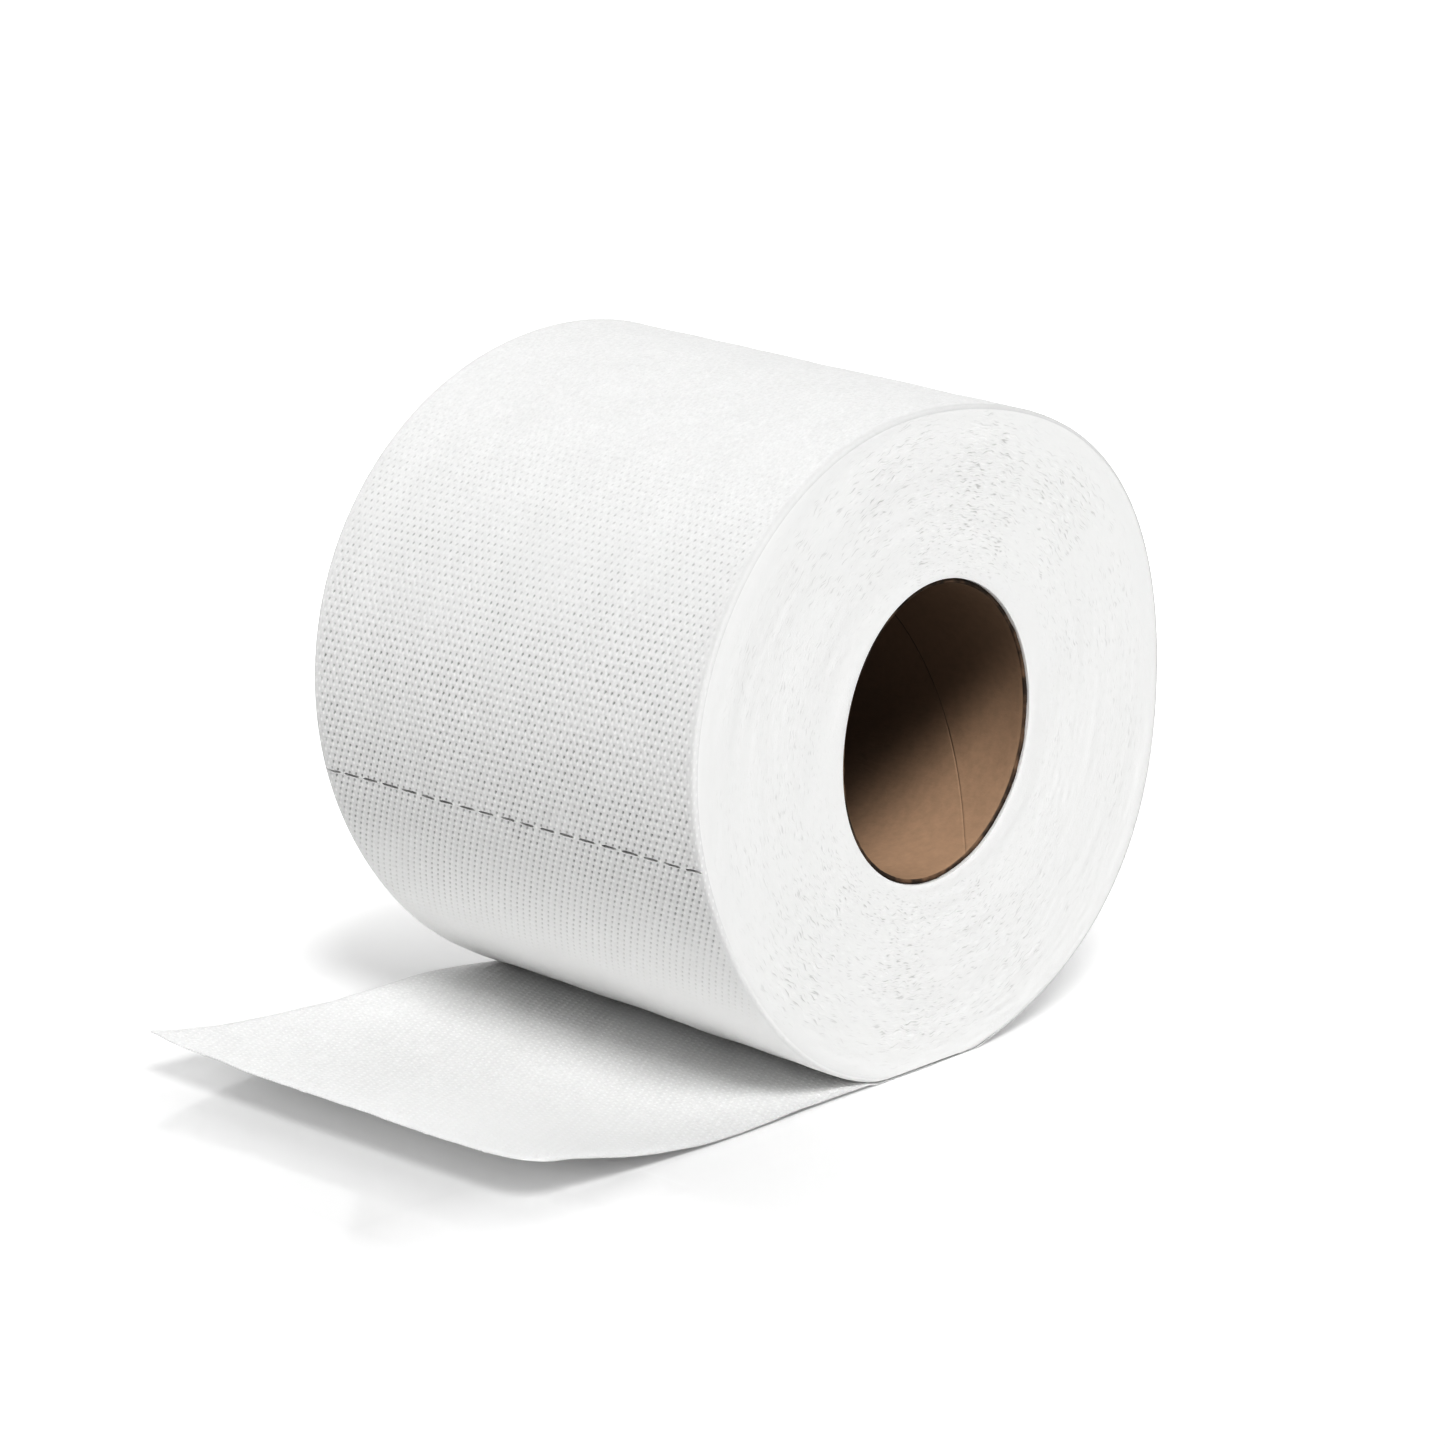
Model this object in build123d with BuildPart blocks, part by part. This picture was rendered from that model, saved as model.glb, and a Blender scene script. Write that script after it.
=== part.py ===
"""A toilet paper roll that lies on its side, with its free end run out over the ground.

The roll's axis is the Y axis and the origin is the middle of the core's bore. The tail leaves the
bottom of the roll towards -X. Lengths are in millimetres and angles in degrees.
"""

import os
from math import atan2, degrees, sqrt

from build123d import *

# The wound paper
roll_width = 90.0
roll_radius = 58.0
sheet_thickness = 0.45
sheet_length = 126.9
rim_round = 1.2
flat_width = 13.0

# The turns, which show at both ends as a spiral from the outer turn in to the core
half_turns = 11
turn_gap = 0.7
turn_gap_depth = 0.6
outer_land = 2.4
inner_land = 2.0

# The tail: how far it reaches, and the heights above the ground of the evenly spaced control
# points of its two edges, from the root inside the roll to the torn end
tail_reach = 95.5
tip_skew = 2.0
near_heights = (0.0, 0.0, 4.2, -5.6, 4.7, 8.4)
far_heights = (0.0, 0.0, 9.8, -0.3, 4.0, 9.2)
root_inside = 2.0

# The perforations, and the nibs that the torn end keeps of one
perforated_lines = 3
slit_pitch = 4.74
slit_length = 3.2
slit_width = 0.35
slit_depth = 0.4
nib_length = 0.5

# The cardboard core
core_radius = 24.5
core_wall = 0.7
core_recess = 0.4

half_width = roll_width / 2
ground = -sqrt(roll_radius**2 - (flat_width / 2) ** 2)


def edge_points(reach, heights, lift):
    """Control points of one long edge of the tail, in the end view."""
    run = (reach + root_inside) / (len(heights) - 1)
    return [(root_inside - k * run, ground + h + lift) for k, h in enumerate(heights)]


slit_count = round(roll_width / slit_pitch)

# The end view looks along +Y, so that its own axes are X and Z
end_view = Plane(origin=(0, 0, 0), x_dir=(1, 0, 0), z_dir=(0, -1, 0))

with BuildPart() as paper:
    # The wound body with its rounded rims, flattened where it rests
    with BuildSketch(end_view):
        Circle(roll_radius)
    extrude(amount=half_width, both=True)
    chamfer(paper.edges(), length=rim_round, length2=rim_round / 2)
    split(bisect_by=Plane.XY.offset(ground), keep=Keep.TOP)

    # The tail, one sheet thick
    for side, reach, heights in (
        (1, tail_reach - tip_skew / 2, near_heights),
        (-1, tail_reach + tip_skew / 2, far_heights),
    ):
        with BuildSketch(end_view.offset(side * half_width)):
            with BuildLine():
                lower = Bezier(*edge_points(reach, heights, 0))
                upper = Bezier(*edge_points(reach, heights, sheet_thickness))
                Line(lower @ 0, upper @ 0)
                Line(lower @ 1, upper @ 1)
            make_face()
    loft(ruled=True)

    # The bore that the core fills
    with BuildSketch(end_view):
        Circle(core_radius)
    extrude(amount=half_width, both=True, mode=Mode.SUBTRACT)

    # The turns: a spiral line at each end, cut in half turns about two centres by turns
    wound_depth = roll_radius - outer_land - core_radius - inner_land
    closing_in = wound_depth / half_turns
    for half in range(half_turns):
        swing = closing_in / 2 * (-1) ** half
        radius = roll_radius - outer_land - (half + 0.5) * closing_in
        start = -swing - radius * (-1) ** half
        for side in (-1, 1):
            with BuildSketch(Plane.YZ):
                with Locations((side * half_width, start)):
                    Polygon(
                        (turn_gap_depth, 0),
                        (0, turn_gap / 2),
                        (-turn_gap_depth, 0),
                        (0, -turn_gap / 2),
                    )
            revolve(axis=Axis((0, 0, -swing), (0, -1, 0)), revolution_arc=180, mode=Mode.SUBTRACT)

    # The perforations across the outer turn, counted in sheets from the torn end
    for line in range(1, perforated_lines + 1):
        angle = degrees((line * sheet_length - tail_reach) / roll_radius) - 90
        outward = Vector(1, 0, 0).rotate(Axis.Y, -angle)
        with Locations(Plane(outward * roll_radius, x_dir=(0, 1, 0), z_dir=outward)):
            with GridLocations(slit_pitch, 0, slit_count, 1):
                Box(slit_length, slit_width, 2 * slit_depth, mode=Mode.SUBTRACT)

    # The torn end: the paper between the nibs came away with the next sheet
    tip_angle = degrees(atan2(tip_skew, roll_width))
    tip_height = ground + (near_heights[-1] + far_heights[-1]) / 2
    bite_height = abs(near_heights[-1] - far_heights[-1]) + 4 * sheet_thickness
    with Locations(Plane(origin=(-tail_reach, 0, tip_height)).rotated((0, 0, tip_angle))):
        with GridLocations(0, slit_pitch, 1, slit_count):
            Box(2 * nib_length, slit_length, bite_height, mode=Mode.SUBTRACT)

paper.part.label = "paper"

with BuildPart() as core_tube:
    with BuildSketch(end_view):
        Circle(core_radius)
        Circle(core_radius - core_wall, mode=Mode.SUBTRACT)
    extrude(amount=half_width - core_recess, both=True)

core_tube.part.label = "core_tube"

os.makedirs("parts", exist_ok=True)
export_step(paper.part, "parts/paper.step")
export_step(core_tube.part, "parts/core_tube.step")
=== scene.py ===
from math import pi, radians, sqrt

import bpy
import numpy as np
from mathutils import Matrix, Vector


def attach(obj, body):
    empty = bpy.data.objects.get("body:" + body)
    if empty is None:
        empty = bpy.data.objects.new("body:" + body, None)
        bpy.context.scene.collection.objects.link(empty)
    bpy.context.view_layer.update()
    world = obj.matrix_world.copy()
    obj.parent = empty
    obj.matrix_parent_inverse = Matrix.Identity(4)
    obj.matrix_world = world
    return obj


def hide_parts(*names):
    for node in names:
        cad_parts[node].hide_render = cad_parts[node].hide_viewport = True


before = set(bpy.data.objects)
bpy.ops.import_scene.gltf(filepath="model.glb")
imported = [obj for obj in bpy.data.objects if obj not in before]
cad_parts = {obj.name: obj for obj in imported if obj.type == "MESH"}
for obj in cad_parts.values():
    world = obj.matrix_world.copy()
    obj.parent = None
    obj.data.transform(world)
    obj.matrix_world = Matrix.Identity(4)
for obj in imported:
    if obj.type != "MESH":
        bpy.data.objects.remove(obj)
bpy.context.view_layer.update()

# Lengths are in millimetres up to the mesh, and in metres from there on.
# The roll's axis is Y, its near end is at -Y, and its tail runs out towards -X.
# In the functions a is a direction around the axis, y a place along it, t a place along the
# strip of paper from where its tail leaves the roll, and w a place across the strip.
MM = 0.001
NOISE_CELLS = 512

# The roll
RADIUS = 58.0
HALF = 45.0
FLAT_WIDTH = 13.0
GROUND = -round(sqrt(RADIUS**2 - (FLAT_WIDTH / 2) ** 2), 4)
PLY = 0.45
CUT_PLY = 0.12
TORN_PLY = 0.14
SOFT_CONTACT = 0.06

# The outlines of the two rims: a mean radius, then a cosine and a sine part for each order.
# The near end of the bore is pressed into an upright oval, which is added to its radius.
NEAR_OUTLINE = (58.316, 0.53, -0.976, 0.615, -0.466, 0.002, 0.821, -0.423, -0.307, -0.486, 0.043)
FAR_OUTLINE = (58.409, 0.152, 0.964, -0.033, 0.122, -0.44, 1.004)
NEAR_OVAL = (0.0, -0.27, 0.53, -1.2, 0.37, 0.13, -0.18)

# The strip of paper is a grid. Its rows are counted from the torn end, with a line of
# perforations after each sheet, and the tail leaves the bottom of the roll at the root's row.
# Its columns are counted from the middle, and the outer ones are folded round the rims.
SHEET_LENGTH = 127.7
SHEET_ROWS = 378
ROW = SHEET_LENGTH / SHEET_ROWS
LINE_ROWS = (SHEET_ROWS, 2 * SHEET_ROWS, 3 * SHEET_ROWS)
ROOT_ROW = 290
LAST_ROW = 1386
COLUMN = 0.375
FLAT_COLUMNS = 118
RIM_COLUMNS = 6
ALL_COLUMNS = FLAT_COLUMNS + RIM_COLUMNS
FLAT_HALF = FLAT_COLUMNS * COLUMN
RIM_ROUND = HALF - FLAT_HALF
SHEET_HALF = FLAT_HALF + RIM_ROUND * pi / 2

# Places along the strip are in millimetres from the torn end. The root is at 98. From there the
# outer turn passes the right at 189, the top at 280, the left at 371 and the root again at 462.
# The perforated line that the camera sees is at 383.

# Stretches of the outer turn: the first and the last row, and the row step of the inner face.
# The column step is the same for all. The rims are fully folded this far from the root.
STRETCHES = (
    (ROOT_ROW, LINE_ROWS[0], 4),
    (LINE_ROWS[0], LINE_ROWS[1], 6),
    (LINE_ROWS[1], LINE_ROWS[2], 6),
    (LINE_ROWS[2], LAST_ROW, 6),
)
COLUMN_STEP = 4
ROOT_EASE = 22.0

# The embossing: a staggered lattice of pits, so many rows and columns of the grid apart
PIT_ROWS = 4
PIT_COLUMNS = 4
PIT_WIDTH = 0.27
PIT_DEPTH = 0.37
TAIL_PIT_HEIGHT = 0.20
PIT_SEED = 21
PIT_TABLE = (512, 128)

# The perforations
SLIT_PITCH = 4.74
SLIT_LENGTH = 3.2
SLIT_OPENING = 0.22
SLITS_EACH_SIDE = 9
SLIT_SEED = 40

# The tail: its reach, and the heights of the control points of its two edges
TAIL_REACH = 95.5
TIP_SKEW = 2.0
ROOT_INSIDE = 2.0
NEAR_HEIGHTS = (0.0, 0.0, 4.2, -5.6, 4.7, 8.4)
FAR_HEIGHTS = (0.0, 0.0, 9.8, -0.3, 4.0, 9.2)
CORNER_ROUNDS = ((-1, 5.5), (1, 0.8))

# The wound body under the outer turn: its points around and across its ends, and its gap to the
# sheet. Past the root the sheet lies over it twice, up to the part of a turn where the sheet
# ends, and by the end of the step the body has come out again.
BODY_POINTS = 400
FACE_RINGS = 86
BODY_GAP = 0.03
SHEET_END = 0.016
BODY_STEP = 0.03

# The core, and the length around its inner face. The hole that it fills is a little wider, and
# the core's outer face and the paper's bore lie just inside the hole's radius. By the far end
# the hole has lost this share of its oval.
CORE_RADIUS = 24.5
CORE_WALL = 0.7
CORE_RECESS = 0.5
CORE_ROUND = 149.5
HOLE_EASE = 0.08
CORE_SUNK = 0.10
PAPER_SUNK = 0.07
OVAL_LOST = 0.45

# The seam of the core's inner ply: its direction at the near end in degrees, how fast it turns
# with each millimetre up to its bend and past it, and its dip and width
SEAM_START = -72.1
SEAM_TURN = 2.75
SEAM_GAIN = 0.037
SEAM_BEND = 26.5
SEAM_LATER_TURN = 4.2
SEAM_DIP = 0.22
SEAM_WIDTH = 0.14

# The marks of the embossing in the materials: half sizes, slant and offset, in millimetres. Their colour
# is painted shade in the outer turn's pits and painted highlight on the tail's raised dots, and the offset
# moves them towards where the pits' shade falls.
PRESSED_DOT = (0.22, 0.30)
RAISED_DOT = (0.34, 0.30)
DOT_SLANT = 0.35
DOT_SHIFT = 0.08
DOT_STRENGTH = 0.9
DOT_BUMP = 0.00012

# The camera, fitted to the photograph: its direction in degrees, its distance from the roll's
# middle, its place beside that line, and its focal length in the photograph's pixels
CAMERA_AZIMUTH = -46.292
CAMERA_ELEVATION = 15.18
CAMERA_BACK = 782.374
CAMERA_RIGHT = -3.344
CAMERA_UP = -5.958
FOCAL_PIXELS = 4538.617
PHOTO_PIXELS = 1445
SENSOR = 36.0

# The stage. Each lobe of the dome has a direction, a sharpness and a strength, and each lamp a
# direction, a width in degrees and a strength.
WHITE = (1, 1, 1, 1)
LOBES = (
    ((0.5, 0.7, 0.4), 5.0, 1.9),
    ((0.3, -0.9, 0.3), 6.0, 1.25),
)
LAMPS = (
    ((-0.308, -0.523, 0.795), 22.0, 2.03),
    ((-0.4, 0.4, 0.82), 30.0, 0.12),
    ((0.0, 0.1, 1.0), 50.0, 0.12),
    ((-0.95, 0.0, 0.3), 40.0, 0.84),
)
BORE_LAMP = ((-0.33, -0.42, 0.846), 22.0, 4.55)
BACKDROP = 0.95
CONTRAST = 1.5
FLOOR_HALF = 8.0
FLOOR_GAP = 0.02
FLOOR_GLOW = (0.25, 0.56)
FLOOR_LIGHT = 0.155
FLOOR_DIM = -0.09


def ramp(x, low, high):
    """0 below low and 1 above high, and smooth between."""
    k = np.clip((x - low) / (high - low), 0, 1)
    return k * k * (3 - 2 * k)


def noise(seed, x, y, around=None, shift=0):
    """Smooth noise from -1 to 1 with cells one unit wide, and another pattern for each seed.

    With around, x repeats after so many cells, and y moves on by shift cells at each repeat,
    as a spiral does.
    """
    table = np.random.default_rng(seed).uniform(-1, 1, (NOISE_CELLS, NOISE_CELLS))
    x, y = np.broadcast_arrays(np.asarray(x, float), np.asarray(y, float))
    ix = np.floor(x).astype(int)
    iy = np.floor(y).astype(int)
    fx = x - ix
    fy = y - iy
    fx = fx**3 * (fx * (6 * fx - 15) + 10)
    fy = fy**3 * (fy * (6 * fy - 15) + 10)

    def at(i, j):
        if around:
            j = j + shift * (i // around)
            i = i % around
        return table[i % NOISE_CELLS, j % NOISE_CELLS]

    low = at(ix, iy) * (1 - fx) + at(ix + 1, iy) * fx
    high = at(ix, iy + 1) * (1 - fx) + at(ix + 1, iy + 1) * fx
    return low * (1 - fy) + high * fy


def turn_of(a):
    """How far round from the bottom a direction is, from 0 to 1."""
    return ((a + pi / 2) / (2 * pi)) % 1.0


def from_near(y):
    """How far along the axis a place is, from 0 at the near end to 1 at the far one."""
    return np.clip((y + HALF) / (2 * HALF), 0, 1)


def series(parts, a):
    """The radius in direction a of an outline that is nearly round."""
    r = parts[0]
    for k in range(1, len(parts) // 2 + 1):
        r = r + parts[2 * k - 1] * np.cos(k * a) + parts[2 * k] * np.sin(k * a)
    return r


def outline(a, y):
    """Radius of the outer turn in direction a, at y along the axis. A soft roll isn't quite round."""
    k = from_near(y)
    turn = turn_of(a)
    bands = 0.10 * noise(11, turn * 3, y / 8.0, 3) + 0.07 * noise(12, turn * 14, y / 5.0, 14)
    return series(NEAR_OUTLINE, a) * (1 - k) + series(FAR_OUTLINE, a) * k + bands


def hole(a, y):
    """Radius of the hole that the core fills."""
    return CORE_RADIUS + HOLE_EASE + series(NEAR_OVAL, a) * (1 - OVAL_LOST * from_near(y))


def settled(z, low):
    """Heights that stay above low, as soft paper does where it rests."""
    return low + SOFT_CONTACT * np.logaddexp(0, (z - low) / SOFT_CONTACT)


def at_radius(r, a, y):
    """Points around the axis."""
    return np.stack(np.broadcast_arrays(r * np.cos(a), y, r * np.sin(a)), axis=-1)


def on_roll(a, turn, w, inset, folded=1.0):
    """Points of the outer turn, so many turns from the root and inset under the outer face.

    The edges of the sheet are folded round the rims where folded is 1, and lie flat where it is 0.
    """
    bend = np.clip((np.abs(w) - FLAT_HALF) / RIM_ROUND, 0, pi / 2) * folded
    along = np.minimum(np.abs(w), FLAT_HALF) + (RIM_ROUND - inset) * np.sin(bend)
    along = along * folded + np.abs(w) * HALF / SHEET_HALF * (1 - folded)
    y = np.sign(w) * along
    sunk = turn * PLY + inset * np.cos(bend)
    r = outline(a, y) - RIM_ROUND * (1 - np.cos(bend)) - sunk
    points = at_radius(r, a, y)
    points[..., 2] = settled(points[..., 2], GROUND + sunk)
    return points


def column_place(c):
    """Place across the sheet of each column, along the paper."""
    flat = np.minimum(np.abs(c), FLAT_COLUMNS) * COLUMN
    folded = np.maximum(np.abs(c) - FLAT_COLUMNS, 0)
    return np.sign(c) * (flat + folded * RIM_ROUND * pi / 2 / RIM_COLUMNS)


def ply_thickness(w):
    """The paper's thickness across the sheet: its plies are pressed thin at the cut edges."""
    return CUT_PLY + (PLY - CUT_PLY) * ramp(SHEET_HALF - np.abs(w), 0, 2.4)


def emboss(rows, columns):
    """Depth of the pits, from 0 to about 1, at each row and column of the sheet."""
    rng = np.random.default_rng(PIT_SEED)
    deep = rng.uniform(0.55, 1.15, PIT_TABLE)
    off_t = rng.uniform(-0.08, 0.08, PIT_TABLE)
    off_w = rng.uniform(-0.08, 0.08, PIT_TABLE)
    g, c = np.meshgrid(rows, columns, indexing="ij")
    total = np.zeros(g.shape)
    for up in (0, 1):
        q = g // PIT_ROWS + up
        first = PIT_COLUMNS // 2 * (q % 2)
        for side in (0, 1):
            p = (c - first) // PIT_COLUMNS + side
            pit = (q % PIT_TABLE[0], p % PIT_TABLE[1])
            dt = (g - PIT_ROWS * q) * ROW - off_t[pit]
            dw = (c - first - PIT_COLUMNS * p) * COLUMN - off_w[pit]
            total += deep[pit] * np.exp(-(dt**2 + dw**2) / PIT_WIDTH**2)
    return total


def slits(w, line):
    """1 within the slits of the perforated line at this row, and 0 at the ties between them."""
    rng = np.random.default_rng(SLIT_SEED + line)
    total = np.zeros(w.shape)
    for k in range(-SLITS_EACH_SIDE, SLITS_EACH_SIDE + 1):
        half = SLIT_LENGTH / 2 + rng.uniform(-0.2, 0.1)
        middle = k * SLIT_PITCH + rng.uniform(-0.1, 0.1)
        total = np.maximum(total, 1 - ramp(np.abs(w - middle), half, half + 0.12))
    return total


def flat_marks(rows, columns):
    """Each point's place on the flat sheet: across it, and along it from the torn end."""
    along, across = np.meshgrid(rows * ROW, columns * COLUMN, indexing="ij")
    return np.stack([across, along], axis=-1)


def build(name, points, polygons, sharp, marks=None):
    """A mesh object from points in millimetres and lists of polygons.

    Each list is an array of corner numbers. Edges over the angle sharp stay sharp, and the marks
    are each point's place on the flat sheet, across and along it.
    """
    mesh = bpy.data.meshes.new(name)
    points = np.asarray(points, float).reshape(-1, 3)
    corners = np.concatenate([p.ravel() for p in polygons])
    sizes = np.concatenate([np.full(len(p), p.shape[1]) for p in polygons])
    starts = np.concatenate([[0], np.cumsum(sizes)[:-1]])
    mesh.vertices.add(len(points))
    mesh.vertices.foreach_set("co", (points * MM).astype(np.float32).ravel())
    mesh.loops.add(len(corners))
    mesh.loops.foreach_set("vertex_index", corners.astype(np.int32))
    mesh.polygons.add(len(sizes))
    mesh.polygons.foreach_set("loop_start", starts.astype(np.int32))
    mesh.update(calc_edges=True)
    mesh.validate()
    if marks is not None:
        flat = np.zeros((len(points), 3), np.float32)
        flat[:, :2] = marks
        mesh.attributes.new("flat_sheet", "FLOAT_VECTOR", "POINT").data.foreach_set("vector", flat.ravel())
    mesh.shade_smooth()
    mesh.set_sharp_from_angle(angle=radians(sharp))
    thing = bpy.data.objects.new(name, mesh)
    bpy.context.scene.collection.objects.link(thing)
    return thing


def quads(numbers):
    """The polygons between neighbours in a grid of point numbers."""
    return np.stack(
        [numbers[:-1, :-1], numbers[:-1, 1:], numbers[1:, 1:], numbers[1:, :-1]], axis=-1
    ).reshape(-1, 4)


def zipped(fine, coarse):
    """Triangles between a fine row of points and a coarse one beside it."""
    k = (len(fine) - 1) // (len(coarse) - 1)
    half = k // 2
    made = []
    for m in range(len(coarse) - 1):
        a, b = coarse[m], coarse[m + 1]
        f = fine[m * k : m * k + k + 1]
        made += [(f[j], f[j + 1], a) for j in range(half)]
        made.append((f[half], b, a))
        made += [(f[j], f[j + 1], b) for j in range(half, k)]
    return made


def shell(name, fine, coarse, marks, flip=False):
    """A closed sheet from the fine grid of one face and the coarser grid of the other."""
    rows, columns = fine.shape[:2]
    top = np.arange(rows * columns).reshape(rows, columns)
    under = top.size + np.arange(coarse.shape[0] * coarse.shape[1]).reshape(coarse.shape[:2])
    walls = (
        zipped(top[0, ::-1], under[0, ::-1])
        + zipped(top[::-1, -1], under[::-1, -1])
        + zipped(top[-1, :], under[-1, :])
        + zipped(top[:, 0], under[:, 0])
    )
    faces = [quads(top), quads(under)[:, ::-1], np.array(walls)]
    if flip:
        faces = [f[:, ::-1] for f in faces]
    points = np.concatenate([fine.reshape(-1, 3), coarse.reshape(-1, 3)])
    flat = np.zeros((len(points), 2))
    flat[: rows * columns] = marks.reshape(-1, 2)
    return build(name, points, faces, sharp=50, marks=flat)


def ring(name, loops, sharp, marks=None):
    """A closed ring from a grid of points whose rows and columns both close on themselves."""
    rows, columns = loops.shape[:2]
    numbers = np.arange(rows * columns).reshape(rows, columns)
    numbers = np.concatenate([numbers, numbers[:1]], axis=0)
    numbers = np.concatenate([numbers, numbers[:, :1]], axis=1)
    return build(name, loops, [quads(numbers)], sharp, marks)


def outer_sheet(name, first, last, row_step):
    """A stretch of the outer turn, from one row of the sheet to another, with pits in its outer face."""
    rows = np.arange(first, last + 1)
    columns = np.arange(-ALL_COLUMNS, ALL_COLUMNS + 1)
    t, w = np.meshgrid((rows - ROOT_ROW) * ROW, column_place(columns), indexing="ij")

    # The pits fade towards the rims, at the top and at the foot of the roll
    place = rows[:, None] * ROW
    top = ramp(place, 240, 285) * (1 - ramp(place, 312, 358))
    foot = ramp(place, 398, 424)
    firm = 1 - ramp(np.abs(w), FLAT_HALF - 1.6, FLAT_HALF - 0.1)
    firm = firm * (1 - 0.6 * top) * (1 - 0.8 * foot)
    uneven = 0.85 + 0.35 * noise(31, t / 17.0, w / 13.0) + 0.15 * noise(32, t / 4.0, w / 4.0)
    inset = PIT_DEPTH * emboss(rows, columns) * firm * uneven

    # At a perforated line the edge draws back within the slits
    for row, line, way in ((0, first, 1), (-1, last, -1)):
        if line in LINE_ROWS:
            slit = slits(w[row], line)
            t[row] += way * slit * SLIT_OPENING + 0.09 * noise(36, w[row] / 2.4, line)
            inset[row] = slit * (0.02 if way < 0 else -0.05)
    t[1:-1] += 0.05 * noise(33, t[1:-1] / 9.0, w[1:-1] / 6.0)

    def wrapped(t, w, inset):
        return on_roll(-pi / 2 + t / RADIUS, t / (2 * pi * RADIUS), w, inset, ramp(t, 0, ROOT_EASE))

    outer = wrapped(t, w, inset)
    t = t[::row_step, ::COLUMN_STEP]
    w = w[::row_step, ::COLUMN_STEP]
    return shell(name, outer, wrapped(t, w, ply_thickness(w)), flat_marks(rows, columns))


def bezier(heights, u):
    """Height on a Bezier curve with these control heights."""
    level = [np.full_like(u, h) for h in heights]
    while len(level) > 1:
        level = [p * (1 - u) + q * u for p, q in zip(level, level[1:])]
    return level[0]


def torn(w):
    """How far the torn end falls short at each place across it: the ties tore off as small nibs."""
    tie = (1 - slits(w, 0)) * ramp(noise(56, w / 0.9, 0), -0.2, 0.8)
    return 0.1 - 0.22 * tie + 0.05 * noise(57, w / 3.3, 0) + 0.03 * noise(58, w / 0.8, 0)


def rounded_off(y):
    """How far the torn end falls short where its corners are rounded."""
    short = 0
    for side, size in CORNER_ROUNDS:
        d = np.clip((side * y - HALF + size) / size, 0, 1)
        short = short + size * (1 - np.sqrt(1 - d**2 * 0.98))
    return short


def tail_under(i, w):
    """Points of the tail's under face: i is the row from the torn end, and w the place across it."""
    y = w * HALF / SHEET_HALF
    side = from_near(y)
    length = TAIL_REACH + TIP_SKEW * (side - 0.5)
    free = 1 - i / ROOT_ROW
    x = -length * free + torn(w) * np.exp(-i / 3.0) + rounded_off(y) * np.exp(-i / 14.0)
    x = x + 0.25 * noise(51, y / 30.0 + 7, 0) * free

    # The two edges set the height, and between them the paper sags and waves
    u = np.clip((ROOT_INSIDE - x) / (ROOT_INSIDE + length), 0, 1)
    height = bezier(NEAR_HEIGHTS, u) * (1 - side) + bezier(FAR_HEIGHTS, u) * side
    sag = 1.15 * (1 - (y / HALF) ** 4) * ramp(-x, 60, 97) + 0.6 * ramp(-x, 84, 96)
    waves = 0.32 * noise(52, x / 17.0, y / 21.0) + 0.12 * noise(53, x / 7.0, y / 9.0)
    waves = waves + 0.2 * np.clip((-x - 84) / 12, 0, 1) * noise(54, 0, y / 10.0)
    height = height - sag + ramp(-x, 6, 40) * waves

    # It stays under the roll and above the ground
    radius = outline(np.full_like(x, radians(-100)), y) - PLY
    roll = -GROUND - np.sqrt(np.maximum(radius**2 - x**2, 0))
    height = np.minimum(height, np.maximum(roll, PLY) - PLY)
    height = np.maximum(height, 0.02)
    return np.stack([x, y + 0.12 * noise(55, x / 14.0, 3), GROUND + height], axis=-1)


def tail_sheet():
    """The free end, with the back of the pits standing up from its upper face."""
    rows = np.arange(0, ROOT_ROW + 1)
    columns = np.arange(-ALL_COLUMNS, ALL_COLUMNS + 1)
    i, w = np.meshgrid(rows.astype(float), column_place(columns), indexing="ij")
    inward = SHEET_HALF - np.abs(w)
    uneven = 0.75 + 0.4 * noise(34, i / 50.0, w / 15.0) + 0.15 * noise(35, i / 14.0, w / 4.0)
    pits = TAIL_PIT_HEIGHT * emboss(rows, columns) * uneven * ramp(inward, 0, 1.0) * ramp(i, 0, 3)
    thick = TORN_PLY + (PLY - TORN_PLY) * ramp(inward, 0, 2.0) * ramp(i, 0, 5)
    upper = tail_under(i, w)
    upper[..., 2] += thick + pits
    lower = tail_under(i[::2, ::2], w[::2, ::2])
    return shell("tail_sheet", upper, lower, flat_marks(rows, columns), flip=True)


def face_relief(a, r, seed):
    """How far the turns' edges stand out at the ends of the roll."""
    turn = turn_of(a)
    broad = 0.14 * noise(seed, turn * 9, r / 6.0, 9)
    groups = 0.05 * noise(seed + 1, turn * 20, r / 1.7 - 6 * turn, 20, 6)
    patches = ramp(noise(seed + 2, turn * 11, r / 7.0, 11), -0.3, 0.7)
    low = 0.5 + 0.5 * np.cos(a + radians(75))
    rough = (0.25 + 0.75 * patches) * (0.35 + 0.65 * low)
    streaks = 0.07 * rough * noise(seed + 3, turn * 120, r / 0.75 - 14 * turn, 120, 14)
    fine = 0.04 * rough * noise(seed + 4, turn * 200, r / 0.75 - 5 * turn, 200, 5)
    return broad + groups + streaks + fine


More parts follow.
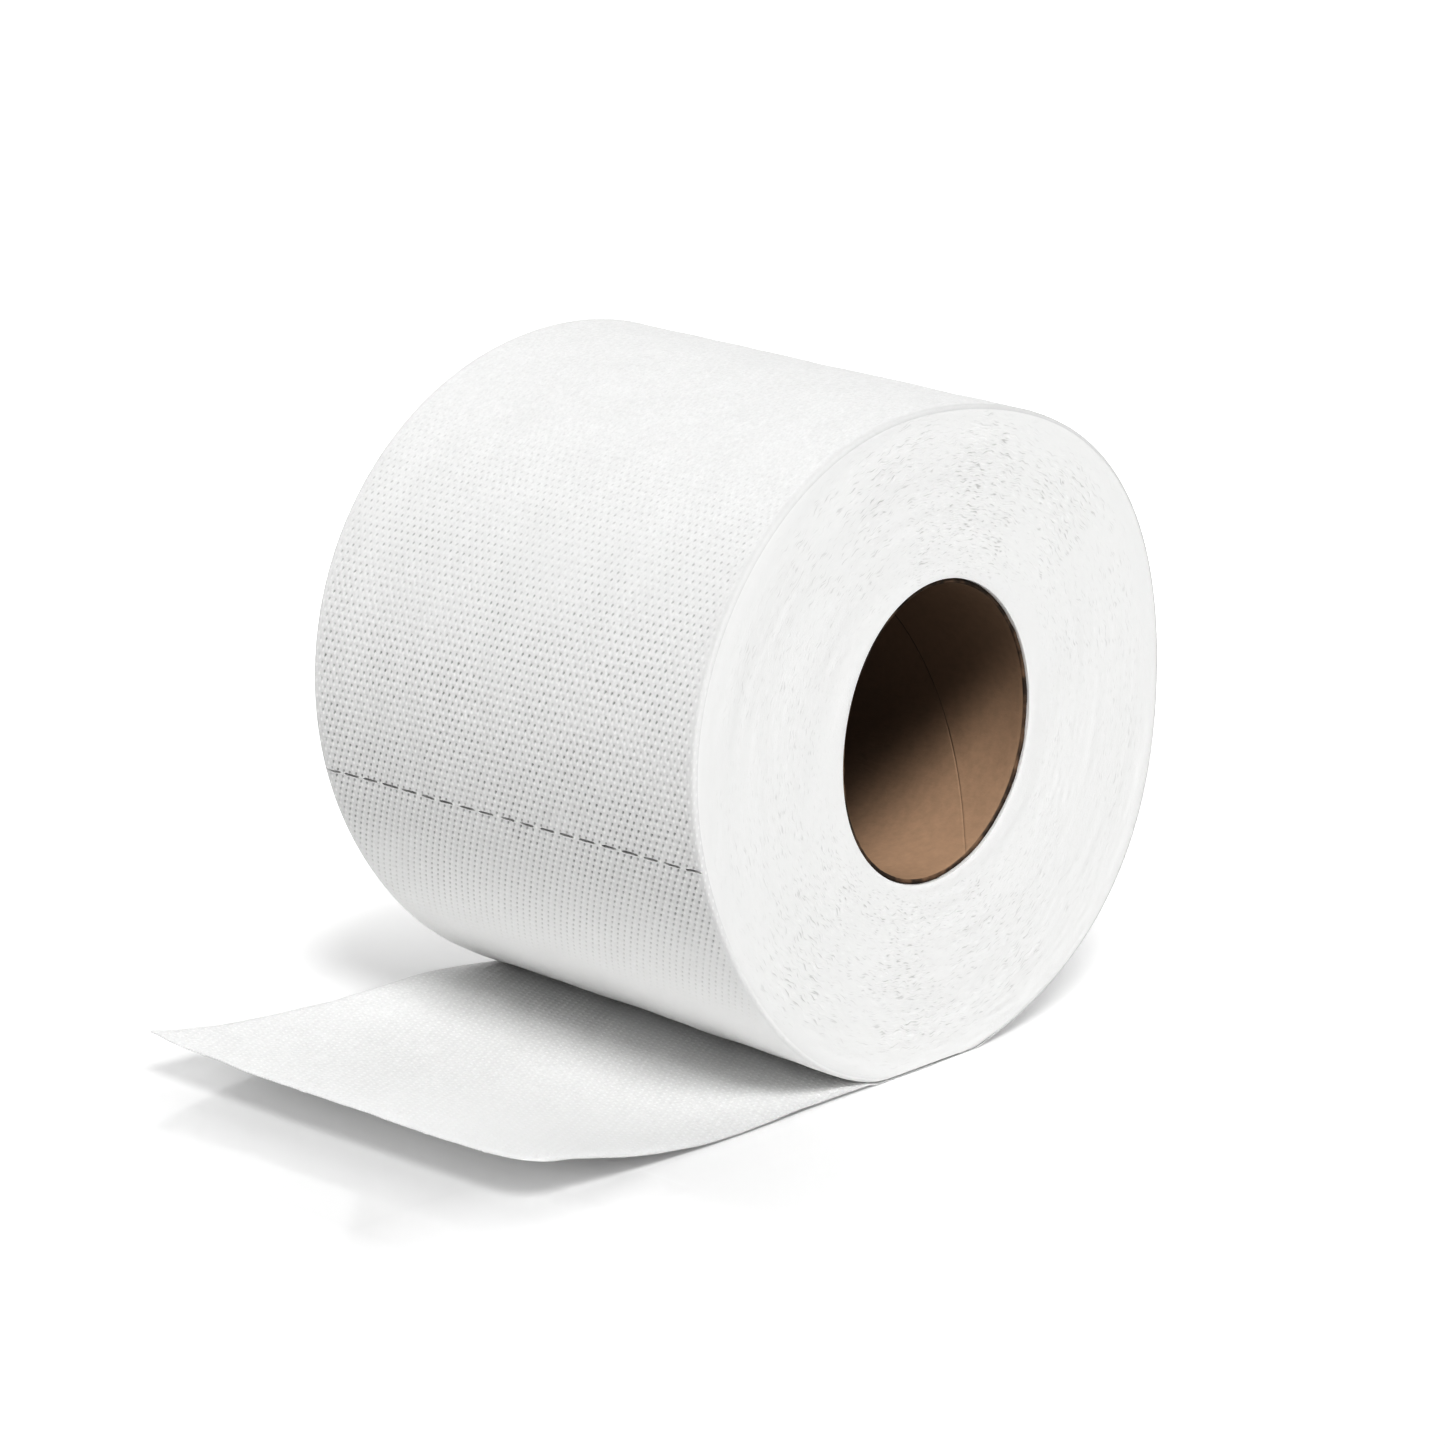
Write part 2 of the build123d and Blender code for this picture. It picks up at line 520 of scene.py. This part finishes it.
def wound_body():
    """The wound paper under its outer sheet, with both ends, which show the edges of the turns."""
    a = -pi / 2 + 2 * pi * np.arange(BODY_POINTS) / BODY_POINTS

    # The sheet ends a little past the root, and there the body comes out from under it
    turn = turn_of(a)
    step = 0.9 * (BODY_STEP - turn) / (BODY_STEP - SHEET_END)
    turn = np.select([turn < SHEET_END, turn < BODY_STEP], [1 + turn, step], turn)

    def under_sheet(w, sunk):
        return on_roll(a, turn, w, ply_thickness(w) + BODY_GAP + sunk)

    def bore(y, wider=0.0):
        return at_radius(hole(a, y) - PAPER_SUNK + wider, a, y)

    ends = []
    for side, seed in ((-1, 60), (1, 80)):
        rim = []
        for w in np.linspace(FLAT_HALF, SHEET_HALF, 5):
            rim.append(under_sheet(side * w, -0.11 if w > FLAT_HALF + 1.1 else 0.0))
        outer = rim[-1]
        inner = bore(side * (HALF - 0.04), 0.10)
        face = []
        for depth in np.arange(1, FACE_RINGS + 1) / (FACE_RINGS + 1):
            points = outer + depth * (inner - outer)
            r = np.hypot(points[:, 0], points[:, 2])
            relief = face_relief(a, r, seed) * ramp(min(depth, 1 - depth), 0, 0.03)
            points[:, 1] = side * (HALF - 0.01 + 0.03 * ramp(depth, 0, 0.06) + relief)
            face.append(points)
        ends.append(rim + face + [inner, bore(side * (HALF - 0.5), 0.04), bore(side * (HALF - 1.4))])
    near, far = ends
    inside = [bore(y) for y in np.linspace(-36, 36, 9)]
    outside = [under_sheet(w, 0.5) for w in np.linspace(41, -41, 15)]
    return ring("wound_body", np.stack(near + inside + far[::-1] + outside), sharp=60)


def seam_angle(y):
    """Direction of the core's spiral seam at each place along it."""
    x = y + HALF
    k = np.minimum(x, SEAM_BEND)
    later = SEAM_LATER_TURN * np.maximum(x - SEAM_BEND, 0)
    return np.radians(SEAM_START + SEAM_TURN * k + SEAM_GAIN * k**2 + later)


def cardboard_core():
    """The core: a wound cardboard tube with the spiral seam of its inner ply."""
    beside_seam = np.array([0.0, 0.12, 0.3, 0.7, 1.5, 3.0, 5.0, 7.5])
    around = np.concatenate([beside_seam, np.linspace(10, 139.5, 150), CORE_ROUND - beside_seam[:0:-1]])
    back = CORE_ROUND - around
    dip = SEAM_DIP * (np.exp(-((around / SEAM_WIDTH) ** 2)) + np.exp(-((back / SEAM_WIDTH) ** 2)))
    dip = dip - 0.09 * np.exp(-((around - 0.35) ** 2) / 0.4) + 0.05 * np.exp(-back / 2.5)
    end = HALF - CORE_RECESS

    def loop(y, wall, seam=1.0, start=None):
        a = (seam_angle(y) if start is None else start) + around / CORE_ROUND * 2 * pi
        turn = a / (2 * pi)
        r = hole(a, y) - CORE_SUNK - wall
        # Only the inner half of the wall has the seam and a wavy face
        if wall > 0.3:
            depth = 0.35 + 0.65 * ramp(y + HALF, 8, 22)
            r = r + dip * seam * depth + 0.05 * noise(93, turn * 9, y / 12.0, 9)
        side = np.sign(y)
        if abs(y) > end - 0.3:
            fuzz = 0.10 * noise(91, turn * 90, side, 90) + 0.16 * noise(92, turn * 14, side, 14)
            y = y + side * fuzz
        return at_radius(r, a, y)

    # The cut end, from the inner face to the outer one: the place back from it and the wall
    steps = ((0.05, CORE_WALL - 0.06), (0.0, CORE_WALL - 0.2), (0.0, 0.22), (0.08, 0.05))
    loops = [loop(y, CORE_WALL) for y in np.linspace(-end + 0.25, end - 0.25, 80)]
    loops += [loop(end - short, wall, 0.4) for short, wall in steps]
    # The seam winds once along the inner face, and the outer face goes straight back
    near, far = seam_angle(-end), seam_angle(end) - 2 * pi
    for y in np.linspace(end - 0.5, -end + 0.5, 8):
        loops.append(loop(y, 0.0, start=near + (far - near) * (y + end) / (2 * end)))
    loops += [loop(short - end, wall, 0.4) for short, wall in reversed(steps)]
    grid = np.stack(loops)
    marks = np.stack([np.broadcast_to(around, grid.shape[:2]), grid[..., 1] + HALF], axis=-1)
    return ring("cardboard_core", grid, sharp=70, marks=marks.reshape(-1, 2))


class Nodes:
    """A short way to write a material's nodes."""

    def __init__(self, tree):
        self.tree = tree

    def give(self, node, inputs):
        """Links or sets inputs of a node."""
        for key, value in inputs.items():
            if isinstance(value, bpy.types.NodeSocket):
                self.tree.links.new(value, node.inputs[key])
            else:
                node.inputs[key].default_value = value

    def add(self, kind, inputs=None, **settings):
        node = self.tree.nodes.new(kind)
        for key, value in settings.items():
            setattr(node, key, value)
        self.give(node, inputs or {})
        return node

    def place(self):
        """The place in the object, in metres."""
        return self.add("ShaderNodeTexCoord").outputs["Object"]

    def flat_sheet(self):
        """The place on the piece laid flat, in millimetres: across or around it, and along it."""
        return self.add("ShaderNodeAttribute", attribute_name="flat_sheet").outputs["Vector"]

    def parts(self, vector):
        return self.add("ShaderNodeSeparateXYZ", {0: vector}).outputs

    def stretch(self, vector, scale):
        return self.add("ShaderNodeMapping", {"Vector": vector, "Scale": scale}).outputs[0]

    def math(self, operation, a, b=0.0, c=0.0):
        return self.add("ShaderNodeMath", {0: a, 1: b, 2: c}, operation=operation).outputs[0]

    def times(self, first, *others):
        """The product of two values or more."""
        for other in others:
            first = self.math("MULTIPLY", first, other)
        return first

    def weighed(self, *pairs):
        """The sum of values times their weights."""
        total = 0.0
        for value, weight in pairs:
            total = self.math("MULTIPLY_ADD", value, weight, total)
        return total

    def span(self, value, low, high, to_low=0.0, to_high=1.0):
        """Maps low to to_low and high to to_high, and holds the ends."""
        node = self.add(
            "ShaderNodeMapRange",
            {"Value": value, "From Min": low, "From Max": high, "To Min": to_low, "To Max": to_high},
        )
        return node.outputs[0]

    def noise(self, vector, scale, detail=3.0, roughness=0.55):
        node = self.add(
            "ShaderNodeTexNoise",
            {"Vector": vector, "Scale": scale, "Detail": detail, "Roughness": roughness},
        )
        return node.outputs["Fac"]

    def mix(self, factor, a, b):
        return self.add("ShaderNodeMix", {0: factor, 6: a, 7: b}, data_type="RGBA").outputs[2]

    def bump(self, height, distance, strength=1.0, normal=None):
        inputs = {"Height": height, "Distance": distance, "Strength": strength}
        if normal is not None:
            inputs["Normal"] = normal
        return self.add("ShaderNodeBump", inputs).outputs[0]


def new_material(name):
    """A material, its nodes and its principled shader."""
    made = bpy.data.materials.new(name)
    made.use_nodes = True
    return made, Nodes(made.node_tree), made.node_tree.nodes["Principled BSDF"]


def grey(level, warmth=0.005):
    """A grey with a little less blue than red and green."""
    return (level, level, level - warmth, 1)


def dot_finder(n, along, across, half_sizes):
    """A function that gives the distance to the nearest dot of the embossing, in half sizes of a dot.

    What it is called with moves the dots aside, in parts of the lattice's cell.
    """
    wide, long = half_sizes
    pitch_across = PIT_COLUMNS * COLUMN
    pitch_along = 2 * PIT_ROWS * ROW
    u = n.times(n.math("ADD", along, -DOT_SHIFT), 1 / pitch_along)
    v = n.times(n.math("ADD", across, -DOT_SHIFT), 1 / pitch_across)

    def squared(stagger, aside):
        x = n.math("SUBTRACT", n.math("FRACT", n.math("ADD", v, stagger + aside)), 0.5)
        y = n.math("SUBTRACT", n.math("FRACT", n.math("ADD", u, stagger - aside)), 0.5)
        y = n.times(y, pitch_along / long)
        x = n.math("MULTIPLY_ADD", x, pitch_across / wide, n.times(y, -DOT_SLANT))
        return n.math("MULTIPLY_ADD", x, x, n.times(y, y))

    def nearest(aside=0.0):
        return n.math("SQRT", n.math("MINIMUM", squared(0.0, aside), squared(0.5, aside)))

    return nearest


def outer_dot_strength(n, along, across):
    """How strongly the dots of the outer turn show, in bump and in painted shade: not near its rims, at
    its foot or at its top.
    """
    left = n.times(n.span(along, 312.0, 362.0, 0.06, 1.0), n.span(along, 386.0, 418.0, 1.0, 0.0))
    right = n.span(along, 250.0, 205.0, 0.0, 0.6)
    inside_rims = n.span(n.math("ABSOLUTE", across), 42.4, 44.0, 1.0, 0.0)
    return n.times(n.math("MAXIMUM", left, right), inside_rims)


def outer_painted_light_and_shade(n, paper, along, across, nearest_dot):
    """Painted light and shade on the outer turn.

    Its left side is greyer with painted shade, with painted highlights beside its dots, its foot is
    paler with painted light, and its rims are greyer again with painted shade.
    """
    left = n.times(n.span(along, 325.0, 365.0), n.span(along, 386.0, 412.0, 1.0, 0.0))
    foot = n.span(along, 390.0, 420.0, 0.0, 0.95)
    dot_highlights = n.times(n.span(nearest_dot(0.19), 1.5, 0.5), left, 0.9)
    near_rim = n.times(n.span(across, -43.6, -44.8, 0.0, 0.9), n.span(along, 345.0, 385.0, 1.0, 0.15))
    far_rim = n.span(across, 43.6, 44.8, 0.0, 0.3)
    # Painted shade on the left side, painted light at the foot, painted highlights beside the dots and
    # painted shade at the rims
    paper = n.mix(n.times(left, 0.85), paper, grey(0.835, 0.004))
    paper = n.mix(foot, paper, grey(0.995))
    paper = n.mix(dot_highlights, paper, grey(0.99))
    return n.mix(n.math("MAXIMUM", near_rim, far_rim), paper, grey(0.8, 0.004))


def tail_painted_light(n, paper, along, across):
    """Painted light on the tail: paler towards the near corner of its torn end."""
    near_corner = n.times(n.span(along, 50.0, 15.0), n.span(across, 10.0, -30.0, 0.0, 0.9))
    return n.mix(near_corner, paper, grey(0.98))


def paper_material(name, raised):
    """Soft embossed tissue, with fine crepe lines and loose fibres.

    The dots of the embossing are pressed in the outer turn, and their dark colour there is painted
    shade in the pits. They are raised in the tail, where the paper's other face shows and some light
    comes through, and their pale colour there is painted highlight.
    """
    made, n, shader = new_material(name)
    place = n.place()
    flat = n.flat_sheet()
    across, along = n.parts(flat)[:2]
    nearest_dot = dot_finder(n, along, across, RAISED_DOT if raised else PRESSED_DOT)
    if raised:
        firm = n.span(along, 0.5, 3.0)
        low, high, painted_dot_tone = grey(0.825, 0.003), grey(0.92, 0.003), grey(0.99)
        n.give(
            shader,
            {
                "Subsurface Weight": 0.7,
                "Subsurface Radius": (1.0, 1.0, 1.0),
                "Subsurface Scale": 0.0012,
            },
        )
    else:
        firm = outer_dot_strength(n, along, across)
        low, high, painted_dot_tone = grey(0.86, 0.003), grey(0.955, 0.003), grey(0.34)
    uneven = n.times(n.noise(flat, 0.9, 1.0), n.noise(flat, 0.07, 2.0))
    dots = n.times(n.span(nearest_dot(), 1.3, 0.4), n.span(uneven, 0.10, 0.36, 0.3, 1.0), firm)

    crepe = n.noise(n.stretch(place, (1.0, 0.22, 1.0)), 2600.0, 2.0)
    fibres = n.noise(n.stretch(place, (0.6, 1.0, 0.6)), 1500.0, 4.0, 0.65)
    grain = n.noise(place, 2700.0, 2.0, 0.6)
    cloud = n.noise(place, 120.0, 3.0)
    bump = n.bump(crepe, 0.00010, 0.5)
    bump = n.bump(fibres, 0.00026, 0.5, bump)
    bump = n.bump(dots, DOT_BUMP if raised else -DOT_BUMP, 0.6, bump)

    tone = n.weighed((cloud, 0.12), (fibres, 0.45), (grain, 0.43))
    paper = n.mix(n.span(tone, 0.36, 0.64), low, high)
    if raised:
        paper = tail_painted_light(n, paper, along, across)
    else:
        paper = outer_painted_light_and_shade(n, paper, along, across, nearest_dot)
    n.give(
        shader,
        {
            # The dots' colour is painted shade in the outer turn's pits and painted highlight on the
            # tail's raised dots
            "Base Color": n.mix(n.times(dots, DOT_STRENGTH), paper, painted_dot_tone),
            "Normal": bump,
            "Roughness": 0.95,
            "Specular IOR Level": 0.15,
            "Sheen Weight": 0.08,
            "Sheen Roughness": 0.6,
        },
    )
    return made


def edge_material():
    """The ends of the roll: short broken streaks where the turns' cut edges part, with painted shade in
    the streaks and the gaps and painted highlights on the raised edges.
    """
    made, n, shader = new_material("turn_edges")
    place = n.place()
    x, _, z = n.parts(place)
    r = n.math("SQRT", n.math("MULTIPLY_ADD", x, x, n.times(z, z)))
    cos = n.math("DIVIDE", x, r)
    sin = n.math("DIVIDE", z, r)
    wandering = n.math("MULTIPLY_ADD", n.noise(place, 420.0, 1.0), 0.0016, r)

    def around(fine, deep):
        """Places around the axis, with noise cells as fine as this around it and outwards."""
        parts = {0: n.times(cos, fine), 1: n.times(sin, fine), 2: n.times(wandering, deep)}
        return n.add("ShaderNodeCombineXYZ", parts).outputs[0]

    streaks = n.noise(around(25.0, 4600.0), 1.0, 0.5, 0.5)
    finer = n.noise(around(90.0, 5200.0), 1.0, 1.0, 0.5)
    fibres = n.noise(place, 1500.0, 3.0, 0.6)

    # The streaks are in patches, fade towards the rims, and are densest just right of the top and
    # just left of the foot
    patches = n.span(n.noise(place, 70.0, 2.0), 0.36, 0.62, 0.25, 1.0)
    inside = n.times(n.span(r, 0.0262, 0.031), n.span(r, 0.0555, 0.0515))
    upright = n.math("SUBTRACT", n.times(sin, sin), n.times(cos, cos))
    zone = n.math("MULTIPLY_ADD", n.times(sin, cos), 1.1, upright)
    rough = n.times(patches, n.span(inside, 0.0, 1.0, 0.15, 1.0), n.span(zone, -0.7, 0.7, 0.35, 1.0))

    bump = n.bump(n.times(streaks, rough), 0.00016, 0.6)
    bump = n.bump(finer, 0.00005, 0.5, bump)
    bump = n.bump(fibres, 0.00006, 0.4, bump)
    # The streaks' colours are painted light: painted shade in them, deeper painted shade in the gaps where
    # the edges part, and painted highlights on the raised edges
    streak_shade = n.times(n.span(streaks, 0.55, 0.71), rough, 0.9)
    raised = n.times(n.span(streaks, 0.36, 0.28), rough)
    gap_shade = n.times(n.span(streaks, 0.66, 0.75), rough)
    paper = n.mix(streak_shade, grey(0.925), grey(0.855))
    paper = n.mix(raised, paper, grey(0.97))
    paper = n.mix(gap_shade, paper, grey(0.69, 0.01))
    n.give(
        shader,
        {
            "Base Color": paper,
            "Normal": bump,
            "Roughness": 0.95,
            "Specular IOR Level": 0.12,
            "Sheen Weight": 0.08,
            "Sheen Roughness": 0.6,
        },
    )
    return made


def board_material():
    """Brown recycled board, calendered smooth on the faces and darker at the cut ends."""
    made, n, shader = new_material("core_board")
    place = n.place()
    specks = n.noise(place, 700.0, 4.0, 0.6)
    cloud = n.noise(place, 60.0, 3.0)
    fibres = n.noise(n.stretch(place, (1.0, 0.3, 1.0)), 1600.0, 3.0, 0.6)
    tone = n.weighed((specks, 0.6), (cloud, 0.4))
    board = n.mix(n.span(tone, 0.32, 0.68), (0.215, 0.152, 0.105, 1), (0.26, 0.184, 0.128, 1))

    # The seam is a dark line that is thinner and paler near both ends
    around, deep = n.parts(n.flat_sheet())[:2]
    width = n.times(n.span(deep, 12.0, 30.0, 0.2, 1.0), n.span(deep, 48.0, 68.0, 0.6, 0.12))
    line = n.span(n.math("SUBTRACT", around, width), 0.0, 0.22, 1.0, 0.0)
    seam = n.times(line, n.span(deep, 10.0, 22.0, 0.1, 0.97), n.span(deep, 48.0, 68.0, 1.0, 0.5))
    board = n.mix(seam, board, (0.004, 0.003, 0.002, 1))

    # The cut ends are darker, in patches
    end_patches = n.span(n.noise(place, 260.0, 2.0), 0.45, 0.62)
    cut_end = n.span(n.math("ABSOLUTE", n.parts(place)[1]), 0.04415, 0.0444)
    ends = n.mix(end_patches, (0.035, 0.024, 0.017, 1), (0.13, 0.085, 0.055, 1))
    bump = n.bump(fibres, 0.00006, 0.4)
    bump = n.bump(specks, 0.00010, 0.25, bump)
    n.give(
        shader,
        {
            "Base Color": n.mix(cut_end, board, ends),
            "Normal": bump,
            "Roughness": 0.72,
            "Specular IOR Level": 0.3,
        },
    )
    return made


def dress(piece, material, node):
    """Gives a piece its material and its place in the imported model."""
    piece.data.materials.clear()
    piece.data.materials.append(material)
    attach(piece, "root")
    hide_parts(node)


def place_camera():
    """The camera where the photograph was taken from."""
    azimuth, elevation = radians(CAMERA_AZIMUTH), radians(CAMERA_ELEVATION)
    back = Vector(
        (np.sin(azimuth) * np.cos(elevation), -np.cos(azimuth) * np.cos(elevation), np.sin(elevation))
    )
    right = Vector((np.cos(azimuth), np.sin(azimuth), 0))
    up = back.cross(right)
    place = (back * CAMERA_BACK + right * CAMERA_RIGHT + up * CAMERA_UP) * MM
    data = bpy.data.cameras.new("camera")
    data.sensor_width = SENSOR
    data.lens = FOCAL_PIXELS / PHOTO_PIXELS * SENSOR
    data.clip_start = 0.01
    data.clip_end = 50.0
    camera = bpy.data.objects.new("camera", data)
    bpy.context.scene.collection.objects.link(camera)
    camera.matrix_world = Matrix(
        (
            (right.x, up.x, back.x, place.x),
            (right.y, up.y, back.y, place.y),
            (right.z, up.z, back.z, place.z),
            (0, 0, 0, 1),
        )
    )
    bpy.context.scene.camera = camera


def add_floor():
    """A white floor, faintly shiny, with a darker patch of painted shade by the tail, which glows a little
    so that it stays white.
    """
    mesh = bpy.data.meshes.new("floor")
    level = (GROUND - FLOOR_GAP) * MM
    corners = [(x * FLOOR_HALF, y * FLOOR_HALF, level) for x, y in ((-1, -1), (1, -1), (1, 1), (-1, 1))]
    mesh.from_pydata(corners, [], [(0, 1, 2, 3)])
    floor = bpy.data.objects.new("floor", mesh)
    bpy.context.scene.collection.objects.link(floor)
    made, n, shader = new_material("floor")
    x, y = n.parts(n.place())[:2]
    seen = n.add("ShaderNodeLightPath").outputs["Is Camera Ray"]

    # The gloss is where the photograph shows the mirror image of the tail's end
    gloss_and_shade_patch = n.times(n.span(x, -0.07, -0.085), n.span(x, -0.138, -0.118))
    gloss_and_shade_patch = n.times(gloss_and_shade_patch, n.span(y, -0.058, -0.03, 0.0, 0.95))

    # The glow far to the left also lights the roll a little. The rest is for the camera alone: it
    # is strongest behind the roll, and lower around the tail, so that the shadows stay dark.
    left = n.times(n.span(x, -0.07, -0.09, 0.0, FLOOR_LIGHT), n.span(seen, 0.0, 1.0, 0.4, 1.0))
    shadow = n.times(n.span(x, 0.0, -0.04), n.span(y, -0.085, -0.05))
    behind = n.span(y, 0.045, 0.09, *FLOOR_GLOW)
    glow = n.math("MULTIPLY_ADD", seen, n.math("MULTIPLY_ADD", shadow, FLOOR_DIM, behind), left)
    # Within the shiny patch the floor is also darker, 0.57 against 0.82: painted shade where the tail's
    # shadow and mirror image fall
    n.give(
        shader,
        {
            "Base Color": n.mix(gloss_and_shade_patch, (0.82, 0.82, 0.82, 1), (0.57, 0.57, 0.57, 1)),
            "Specular IOR Level": gloss_and_shade_patch,
            "Roughness": 0.1,
            "IOR": 1.8,
            "Emission Color": WHITE,
            "Emission Strength": glow,
        },
    )
    mesh.materials.append(made)


def add_lamp(direction, width, strength):
    """A soft lamp that shines from one direction."""
    data = bpy.data.lights.new("softbox", "SUN")
    data.energy = strength
    data.angle = radians(width)
    lamp = bpy.data.objects.new("softbox", data)
    lamp.rotation_mode = "QUATERNION"
    lamp.rotation_quaternion = Vector(direction).normalized().to_track_quat("Z", "Y")
    bpy.context.scene.collection.objects.link(lamp)
    return lamp


def add_light():
    """A soft white studio: a dome that is brighter in two directions, and wide soft lamps."""
    scene = bpy.context.scene
    world = bpy.data.worlds.new("studio")
    scene.world = world
    world.use_nodes = True
    n = Nodes(world.node_tree)
    way = n.add("ShaderNodeTexCoord").outputs["Generated"]
    dome = 0.0
    for direction, sharpness, strength in LOBES:
        facing = tuple(Vector(direction).normalized())
        near = n.add("ShaderNodeVectorMath", {0: way, 1: facing}, operation="DOT_PRODUCT").outputs[1]
        lobe = n.math("POWER", n.math("MAXIMUM", near, 0.0), sharpness)
        dome = n.math("MULTIPLY_ADD", lobe, strength, dome)
    path = n.add("ShaderNodeLightPath").outputs
    seen = n.math("MAXIMUM", path["Is Camera Ray"], path["Is Glossy Ray"])
    strength = n.span(seen, 0.0, 1.0, dome, BACKDROP)
    n.give(world.node_tree.nodes["Background"], {"Color": WHITE, "Strength": strength})
    for lamp in LAMPS:
        add_lamp(*lamp)
    scene.view_settings.view_transform = "Standard"
    scene.view_settings.gamma = 1 / CONTRAST


def light_alone(lamp, thing):
    """Lets a lamp light only one thing."""
    alone = bpy.data.collections.new(f"{thing.name}_alone")
    alone.objects.link(thing)
    lamp.light_linking.receiver_collection = alone


place_camera()
add_floor()
add_light()

tissue = paper_material("tissue", raised=False)
free_end = paper_material("free_end", raised=True)
turn_edges = edge_material()
board = board_material()

dress(wound_body(), turn_edges, "paper")
for number, (first, last, row_step) in enumerate(STRETCHES, 1):
    stretch = outer_sheet(f"outer_sheet_{number}", first, last, row_step)
    dress(stretch, tissue, "paper")
tail = tail_sheet()
dress(tail, free_end, "paper")
core = cardboard_core()
dress(core, board, "core_tube")
light_alone(add_lamp(*BORE_LAMP), core)

bpy.context.view_layer.update()
